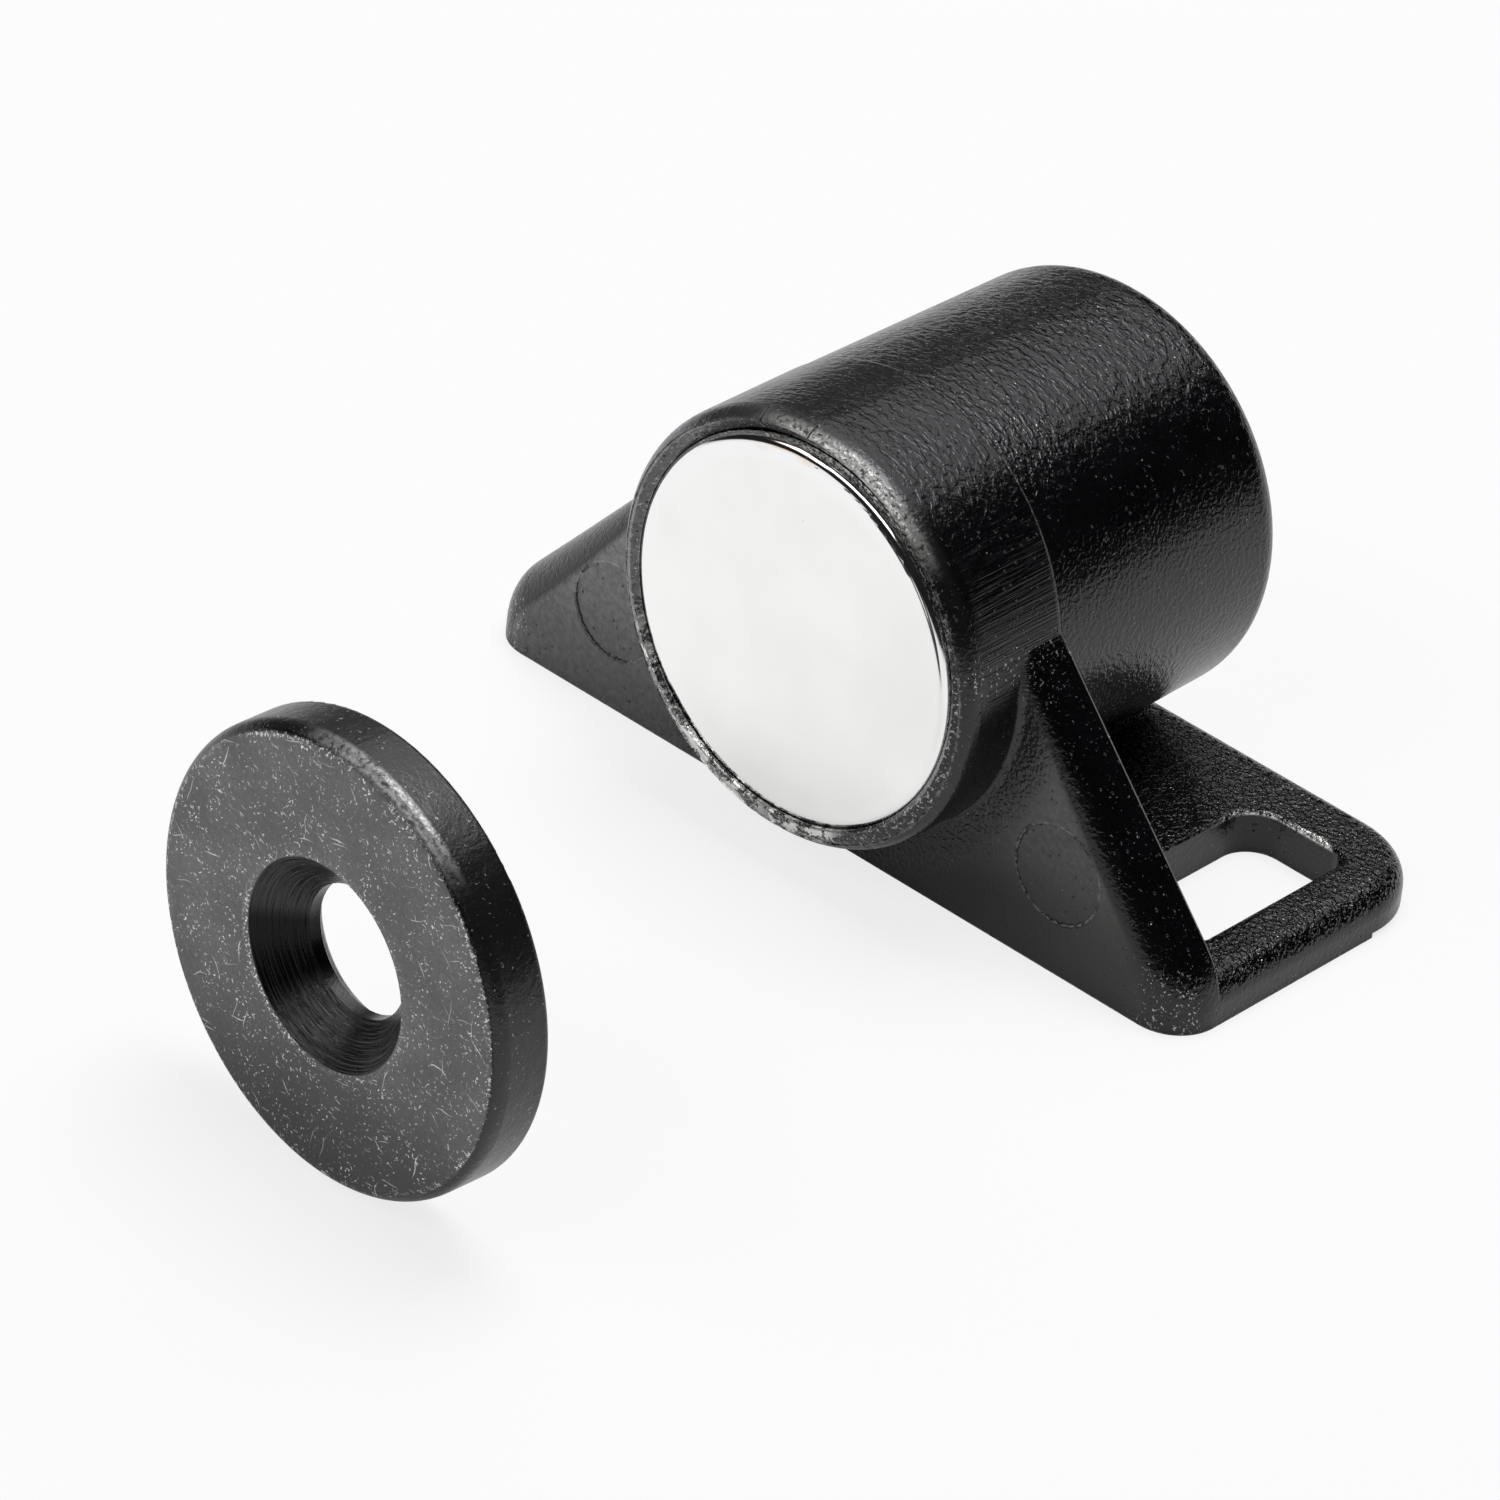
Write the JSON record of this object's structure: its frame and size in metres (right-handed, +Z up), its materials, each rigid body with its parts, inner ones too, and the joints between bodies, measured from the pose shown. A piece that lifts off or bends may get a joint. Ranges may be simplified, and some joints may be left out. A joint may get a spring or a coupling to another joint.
{
  "type": "magnetic catch with strike washer",
  "caption": "Surface-mounted magnetic door catch: a die-cast barrel with two slotted feet holds a plated disc magnet, with a separate countersunk round steel strike.",
  "frame": {"origin": "foot of the flange's front face, on the mounting plane, straight below the barrel's axis", "axes": "+X across the wings to the right as seen from the strike, +Y along the barrel from the magnet to its closed back, +Z up from the mounting plane"},
  "size_m": [0.035, 0.0445, 0.0187],
  "materials": {
    "black_casting": "semi-gloss black coat over a grained die casting, worn to bare metal on the rim",
    "nickel_plate": "bright nickel plate, nearly mirror",
    "blackened_steel": "satin blackened steel with fine scratches and turning marks in the countersink"
  },
  "bodies": {
    "root": {"housing": "black_casting", "magnet": "nickel_plate", "strike": "blackened_steel"}
  },
  "joints": []
}
